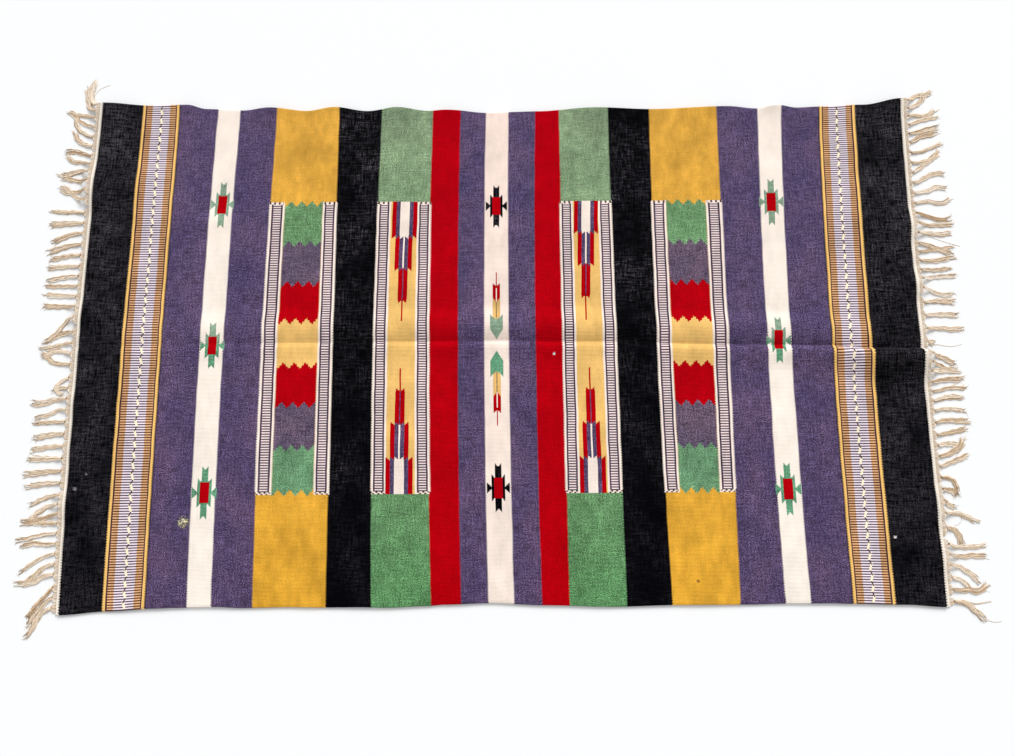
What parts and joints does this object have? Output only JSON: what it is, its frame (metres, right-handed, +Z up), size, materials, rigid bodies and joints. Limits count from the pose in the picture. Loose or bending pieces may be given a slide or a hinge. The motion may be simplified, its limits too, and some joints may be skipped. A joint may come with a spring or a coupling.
{
  "type": "fringed serape lying flat",
  "caption": "Flat-woven striped wool serape spread on a floor, with a knotted warp fringe at both ends and a low fold ridge along its middle.",
  "frame": {"origin": "on the floor, under the middle of the whole serape with its fringes", "axes": "+X along the warps from one fringed end to the other, +Y across the cloth from the near selvedge to the far one, +Z up from the floor"},
  "size_m": [1.5174, 0.9496, 0.0188],
  "materials": {
    "woven_wool": "matt weft-faced wool weave in stripes",
    "warp_yarn": "undyed plied yarn"
  },
  "bodies": {
    "root": {"woven_cloth": "woven_wool", "left_fringe": "warp_yarn", "right_fringe": "warp_yarn"}
  },
  "joints": []
}
